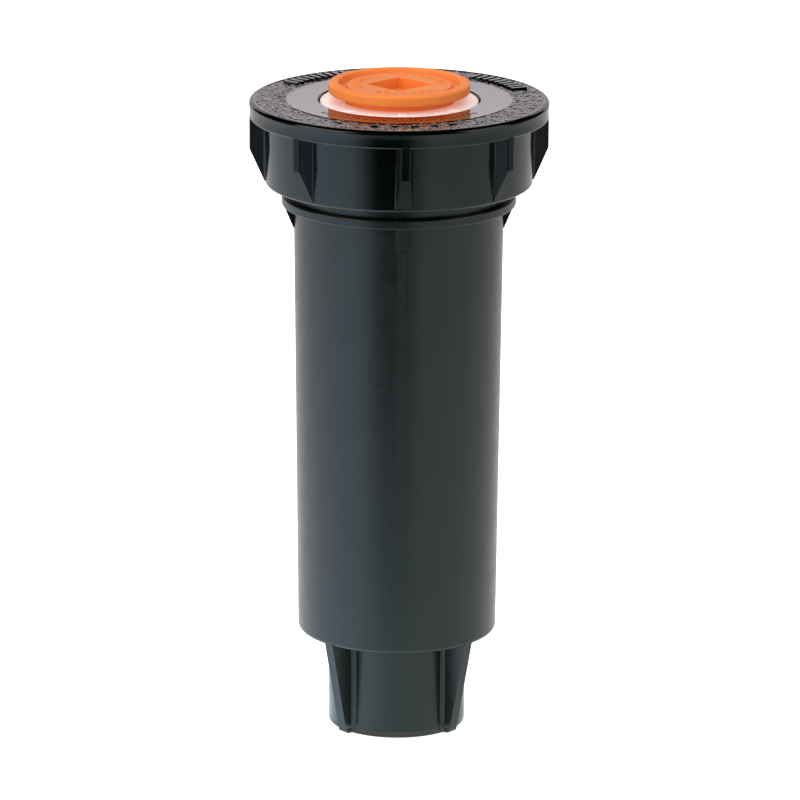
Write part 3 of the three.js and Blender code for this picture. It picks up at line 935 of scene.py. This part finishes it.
def sum_of(tree, operation, *terms):
    """A two-term math node on outputs or plain numbers."""
    node = tree.nodes.new("ShaderNodeMath")
    node.operation = operation
    for i, term in enumerate(terms):
        if isinstance(term, (int, float)):
            node.inputs[i].default_value = term
        else:
            tree.links.new(term, node.inputs[i])
    return node.outputs[0]


def make_reflection_card():
    """A glowing card on the floor that only reflections see: cool and bright on the left, plainer
    on the right, with a dark gap at the front, as between two soft boxes."""
    clear_selection()
    bpy.ops.mesh.primitive_circle_add(
        vertices=64, radius=1.6, location=(0, 0, 0.0012), fill_type="NGON"
    )
    card = named(bpy.context.object, "reflection_card")
    apply_place(card)
    glow, tree, shader, place = blank("graduated_glow")
    split = add(tree, "ShaderNodeSeparateXYZ", [("Vector", place)])
    front = sum_of(tree, "MULTIPLY", split.outputs["Y"], -1)
    angle = sum_of(tree, "ARCTAN2", split.outputs["X"], front)
    turn = eased_range(tree, angle, -math.pi, math.pi, 0, 1, smooth=False)
    ramp = add(tree, "ShaderNodeValToRGB", [("Fac", turn)])
    stops = [
        (-180, "#c4c4c4"), (-135, "#c8c9cb"), (-100, "#d4dfe6"), (-70, "#d2e8fa"),
        (-45, "#cce4f4"), (-25, "#c4dce2"), (0, "#aec4c6"), (45, "#a9b9b6"),
        (90, "#acbab5"), (135, "#bcbab7"), (180, "#c4c4c4"),
    ]
    for degrees, _ in stops[1:-1]:
        ramp.color_ramp.elements.new((degrees + 180) / 360)
    for element, (degrees, colour) in zip(ramp.color_ramp.elements, stops):
        element.position = (degrees + 180) / 360
        element.color = linear(colour)
    gap_turn, gap_full, gap_end = math.radians(7), math.radians(8), math.radians(36)
    off_gap = sum_of(tree, "ABSOLUTE", sum_of(tree, "ADD", angle, gap_turn))
    gap = eased_range(tree, off_gap, gap_full, gap_end, 1, 0)
    flat = add(tree, "ShaderNodeVectorMath", [(0, place)], operation="LENGTH").outputs["Value"]
    foot = 0.05
    reach = eased_range(tree, flat, foot, 0.4, 0.08, 1, smooth=False)
    open_part = sum_of(tree, "SUBTRACT", 1, sum_of(tree, "MULTIPLY", gap, reach))
    fall = eased_range(tree, flat, foot, 0.5, 2.3, 1.42, smooth=False)
    shader.inputs["Base Color"].default_value = (0, 0, 0, 1)
    shader.inputs["Specular IOR Level"].default_value = 0
    tree.links.new(ramp.outputs["Color"], shader.inputs["Emission Color"])
    tree.links.new(sum_of(tree, "MULTIPLY", fall, open_part), shader.inputs["Emission Strength"])
    card.data.materials.append(glow)
    card.visible_camera = False
    card.visible_diffuse = False
    card.visible_shadow = False
    card.visible_transmission = False


def make_studio():
    """A floor and surroundings lit from within, five soft panels and the reflection card."""
    clear_selection()
    bpy.ops.mesh.primitive_plane_add(size=8, location=(0, 0, 0))
    floor = named(bpy.context.object, "studio_floor")
    paint, _, shader, _ = blank("pale_studio_floor")
    shader.inputs["Base Color"].default_value = linear("#fbfbfb")
    shader.inputs["Roughness"].default_value = 0.8
    shader.inputs["Emission Color"].default_value = (1, 1, 1, 1)
    shader.inputs["Emission Strength"].default_value = 0.8
    floor.data.materials.append(paint)
    aim = (0, 0, 0.09)
    panel("back_panel", (0, 1.7, 0.65), aim, 2.4, 1.0, 6.1, "#fff7fc")
    above = panel("top_panel", (-0.15, -0.1, 1.5), aim, 1.6, 1.6, 10.5)
    above.visible_glossy = False
    fill = panel("front_panel", (-0.5, -1.7, 0.6), aim, 1.4, 0.9, 11.5)
    fill.visible_glossy = False
    panel("left_panel", (-1.2, -0.6, 0.7), aim, 1.2, 1.2, 8, "#fffaf2")
    panel("right_panel", (1.3, -0.4, 0.6), aim, 1.0, 1.2, 4.5, "#fff6ec")
    make_reflection_card()
    world = bpy.data.worlds.new("studio_surroundings")
    bpy.context.scene.world = world
    world.use_nodes = True
    world.node_tree.nodes["Background"].inputs["Color"].default_value = (0.9, 0.9, 0.9, 1)
    world.node_tree.nodes["Background"].inputs["Strength"].default_value = 0.5
    world.cycles_visibility.glossy = False
    bpy.context.scene.view_settings.view_transform = "Standard"


make_camera()
make_studio()
make_case()
make_cap()
make_seal()
make_retainer()
spring = finished(
    make_spring(), SPRING_WIRE, "seal_carrier", "spring_steel", "retract_spring", smooth=60
)
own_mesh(spring)
make_stem()
make_hub()
make_ratchet_ring()
make_washer()
make_washer_clip()
make_screen()
make_plug()
